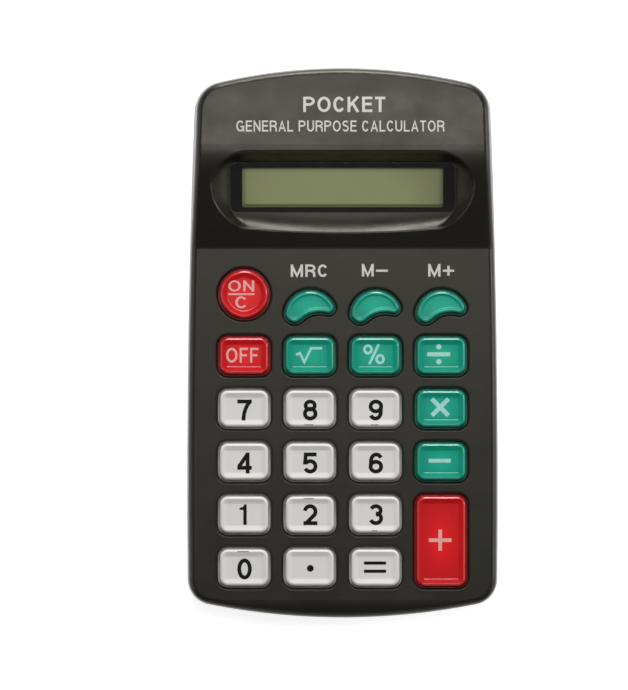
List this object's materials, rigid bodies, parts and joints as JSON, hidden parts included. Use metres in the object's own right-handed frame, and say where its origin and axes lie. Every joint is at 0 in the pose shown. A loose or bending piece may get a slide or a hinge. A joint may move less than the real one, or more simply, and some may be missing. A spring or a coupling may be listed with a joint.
{
  "type": "pocket calculator",
  "caption": "Slim dark pocket calculator with a raised display end, sunken display window, separate sprung keys and a sliding battery door.",
  "frame": {"origin": "middle of the flat back, on the surface it lies on", "axes": "+X to the right as the keys are read, +Y towards the display end, +Z out of the key face"},
  "size_m": [0.065, 0.115, 0.0178],
  "materials": {
    "case_plastic": "dark olive grey moulded plastic, satin",
    "white_key": "off-white moulded plastic, satin",
    "red_key": "red moulded plastic, gloss",
    "green_key": "green moulded plastic, gloss",
    "window": "clear acrylic window with a dark border",
    "lcd_glass": "thin glass",
    "polariser": "grey-green film",
    "reflector": "matt reflecting film",
    "contact_rubber": "layered rubber strip",
    "foam": "soft foam",
    "board_laminate": "laminate",
    "silicone": "pale silicone rubber",
    "epoxy": "black epoxy",
    "capacitor_can": "sleeved can",
    "ceramic_chip": "ceramic chip",
    "carbon_ink": "carbon",
    "cell_jacket": "printed steel jacket, no marks",
    "plated_steel": "nickel plated",
    "screw_steel": "zinc plated",
    "red_insulation": "wire insulation",
    "black_insulation": "wire insulation"
  },
  "bodies": {
    "case": {"front_housing": "case_plastic", "rear_housing": "case_plastic", "case_screws": "screw_steel", "board_screws": "screw_steel", "display_lens": "window", "lcd_front_glass": "lcd_glass", "lcd_rear_glass": "lcd_glass", "lcd_front_polariser": "polariser", "lcd_rear_reflector": "reflector", "zebra_connector": "contact_rubber", "lcd_foam_pad": "foam", "main_circuit_board": "board_laminate", "rubber_key_mat": "silicone", "chip_encapsulation": "epoxy", "electrolytic_capacitor": "capacitor_can", "chip_resistors": "ceramic_chip", "contact_pads": "carbon_ink", "carbon_pills": "carbon_ink", "battery_cell": "cell_jacket", "battery_spring": "plated_steel", "positive_contact_plate": "plated_steel", "negative_contact_plate": "plated_steel", "positive_wire": "red_insulation", "negative_wire": "black_insulation"},
    "door": {"battery_door": "case_plastic"},
    "body_key_on_clear": {"key_on_clear": "red_key"},
    "body_key_memory_recall": {"key_memory_recall": "green_key"},
    "body_key_memory_minus": {"key_memory_minus": "green_key"},
    "body_key_memory_plus": {"key_memory_plus": "green_key"},
    "body_key_off": {"key_off": "red_key"},
    "body_key_square_root": {"key_square_root": "green_key"},
    "body_key_percent": {"key_percent": "green_key"},
    "body_key_divide": {"key_divide": "green_key"},
    "body_key_7": {"key_7": "white_key"},
    "body_key_8": {"key_8": "white_key"},
    "body_key_9": {"key_9": "white_key"},
    "body_key_multiply": {"key_multiply": "green_key"},
    "body_key_4": {"key_4": "white_key"},
    "body_key_5": {"key_5": "white_key"},
    "body_key_6": {"key_6": "white_key"},
    "body_key_minus": {"key_minus": "green_key"},
    "body_key_1": {"key_1": "white_key"},
    "body_key_2": {"key_2": "white_key"},
    "body_key_3": {"key_3": "white_key"},
    "body_key_0": {"key_0": "white_key"},
    "body_key_decimal_point": {"key_decimal_point": "white_key"},
    "body_key_equals": {"key_equals": "white_key"},
    "body_key_plus": {"key_plus": "red_key"}
  },
  "joints": [
    {"name": "key_on_clear_press", "type": "slide", "parent": "case", "child": "body_key_on_clear", "axis": [0, 0, -1], "range_m": [0, 0.0009], "stiffness_N_per_m": 700, "springref_m": -0.0003, "deforming": ["rubber_key_mat"]},
    {"name": "key_memory_recall_press", "type": "slide", "parent": "case", "child": "body_key_memory_recall", "axis": [0, 0, -1], "range_m": [0, 0.0009], "stiffness_N_per_m": 700, "springref_m": -0.0003, "deforming": ["rubber_key_mat"]},
    {"name": "key_memory_minus_press", "type": "slide", "parent": "case", "child": "body_key_memory_minus", "axis": [0, 0, -1], "range_m": [0, 0.0009], "stiffness_N_per_m": 700, "springref_m": -0.0003, "deforming": ["rubber_key_mat"]},
    {"name": "key_memory_plus_press", "type": "slide", "parent": "case", "child": "body_key_memory_plus", "axis": [0, 0, -1], "range_m": [0, 0.0009], "stiffness_N_per_m": 700, "springref_m": -0.0003, "deforming": ["rubber_key_mat"]},
    {"name": "key_off_press", "type": "slide", "parent": "case", "child": "body_key_off", "axis": [0, 0, -1], "range_m": [0, 0.0009], "stiffness_N_per_m": 700, "springref_m": -0.0003, "deforming": ["rubber_key_mat"]},
    {"name": "key_square_root_press", "type": "slide", "parent": "case", "child": "body_key_square_root", "axis": [0, 0, -1], "range_m": [0, 0.0009], "stiffness_N_per_m": 700, "springref_m": -0.0003, "deforming": ["rubber_key_mat"]},
    {"name": "key_percent_press", "type": "slide", "parent": "case", "child": "body_key_percent", "axis": [0, 0, -1], "range_m": [0, 0.0009], "stiffness_N_per_m": 700, "springref_m": -0.0003, "deforming": ["rubber_key_mat"]},
    {"name": "key_divide_press", "type": "slide", "parent": "case", "child": "body_key_divide", "axis": [0, 0, -1], "range_m": [0, 0.0009], "stiffness_N_per_m": 700, "springref_m": -0.0003, "deforming": ["rubber_key_mat"]},
    {"name": "key_7_press", "type": "slide", "parent": "case", "child": "body_key_7", "axis": [0, 0, -1], "range_m": [0, 0.0009], "stiffness_N_per_m": 700, "springref_m": -0.0003, "deforming": ["rubber_key_mat"]},
    {"name": "key_8_press", "type": "slide", "parent": "case", "child": "body_key_8", "axis": [0, 0, -1], "range_m": [0, 0.0009], "stiffness_N_per_m": 700, "springref_m": -0.0003, "deforming": ["rubber_key_mat"]},
    {"name": "key_9_press", "type": "slide", "parent": "case", "child": "body_key_9", "axis": [0, 0, -1], "range_m": [0, 0.0009], "stiffness_N_per_m": 700, "springref_m": -0.0003, "deforming": ["rubber_key_mat"]},
    {"name": "key_multiply_press", "type": "slide", "parent": "case", "child": "body_key_multiply", "axis": [0, 0, -1], "range_m": [0, 0.0009], "stiffness_N_per_m": 700, "springref_m": -0.0003, "deforming": ["rubber_key_mat"]},
    {"name": "key_4_press", "type": "slide", "parent": "case", "child": "body_key_4", "axis": [0, 0, -1], "range_m": [0, 0.0009], "stiffness_N_per_m": 700, "springref_m": -0.0003, "deforming": ["rubber_key_mat"]},
    {"name": "key_5_press", "type": "slide", "parent": "case", "child": "body_key_5", "axis": [0, 0, -1], "range_m": [0, 0.0009], "stiffness_N_per_m": 700, "springref_m": -0.0003, "deforming": ["rubber_key_mat"]},
    {"name": "key_6_press", "type": "slide", "parent": "case", "child": "body_key_6", "axis": [0, 0, -1], "range_m": [0, 0.0009], "stiffness_N_per_m": 700, "springref_m": -0.0003, "deforming": ["rubber_key_mat"]},
    {"name": "key_minus_press", "type": "slide", "parent": "case", "child": "body_key_minus", "axis": [0, 0, -1], "range_m": [0, 0.0009], "stiffness_N_per_m": 700, "springref_m": -0.0003, "deforming": ["rubber_key_mat"]},
    {"name": "key_1_press", "type": "slide", "parent": "case", "child": "body_key_1", "axis": [0, 0, -1], "range_m": [0, 0.0009], "stiffness_N_per_m": 700, "springref_m": -0.0003, "deforming": ["rubber_key_mat"]},
    {"name": "key_2_press", "type": "slide", "parent": "case", "child": "body_key_2", "axis": [0, 0, -1], "range_m": [0, 0.0009], "stiffness_N_per_m": 700, "springref_m": -0.0003, "deforming": ["rubber_key_mat"]},
    {"name": "key_3_press", "type": "slide", "parent": "case", "child": "body_key_3", "axis": [0, 0, -1], "range_m": [0, 0.0009], "stiffness_N_per_m": 700, "springref_m": -0.0003, "deforming": ["rubber_key_mat"]},
    {"name": "key_0_press", "type": "slide", "parent": "case", "child": "body_key_0", "axis": [0, 0, -1], "range_m": [0, 0.0009], "stiffness_N_per_m": 700, "springref_m": -0.0003, "deforming": ["rubber_key_mat"]},
    {"name": "key_decimal_point_press", "type": "slide", "parent": "case", "child": "body_key_decimal_point", "axis": [0, 0, -1], "range_m": [0, 0.0009], "stiffness_N_per_m": 700, "springref_m": -0.0003, "deforming": ["rubber_key_mat"]},
    {"name": "key_equals_press", "type": "slide", "parent": "case", "child": "body_key_equals", "axis": [0, 0, -1], "range_m": [0, 0.0009], "stiffness_N_per_m": 700, "springref_m": -0.0003, "deforming": ["rubber_key_mat"]},
    {"name": "key_plus_press", "type": "slide", "parent": "case", "child": "body_key_plus", "axis": [0, 0, -1], "range_m": [0, 0.0009], "stiffness_N_per_m": 700, "springref_m": -0.0003, "deforming": ["rubber_key_mat"]},
    {"name": "battery_door_slide", "type": "slide", "parent": "case", "child": "door", "axis": [0, 1, 0], "range_m": [0, 0.018]}
  ]
}
